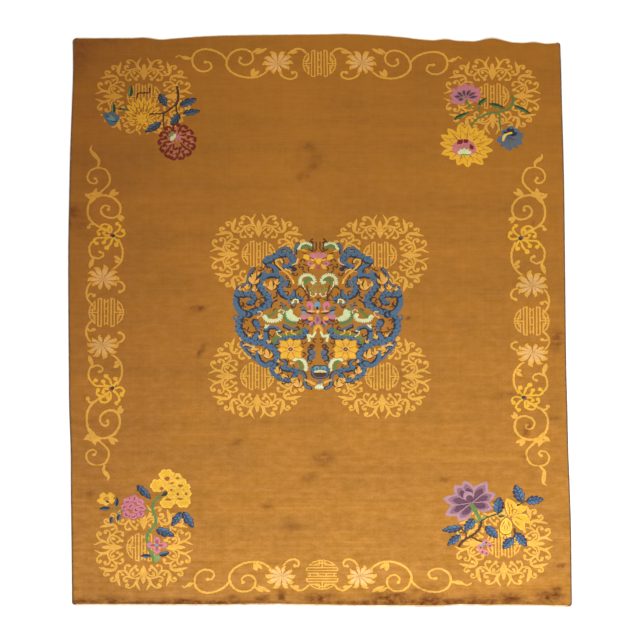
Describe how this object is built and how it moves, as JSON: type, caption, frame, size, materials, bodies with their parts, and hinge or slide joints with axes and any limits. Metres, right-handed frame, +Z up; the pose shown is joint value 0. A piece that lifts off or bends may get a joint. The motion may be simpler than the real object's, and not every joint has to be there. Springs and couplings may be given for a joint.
{
  "type": "pile rug",
  "caption": "Large rectangular hand-knotted wool pile rug in the Chinese art deco manner, with side cords and cotton end webs.",
  "frame": {"origin": "middle of the rug's outline, on the floor", "axes": "+Y along the rug towards its rippled far end, +X across it to the right, +Z up"},
  "size_m": [2.7419, 3.6516, 0.0312],
  "materials": {
    "gold_wool_pile": "matt cut wool pile",
    "brown_wool_overcast": "matt wound wool yarn",
    "cream_cotton_web": "matt cotton"
  },
  "bodies": {
    "root": {"pile_rug": "gold_wool_pile", "side_cord_left": "brown_wool_overcast", "side_cord_right": "brown_wool_overcast", "end_web_far": "cream_cotton_web", "end_web_near": "cream_cotton_web"}
  },
  "joints": []
}
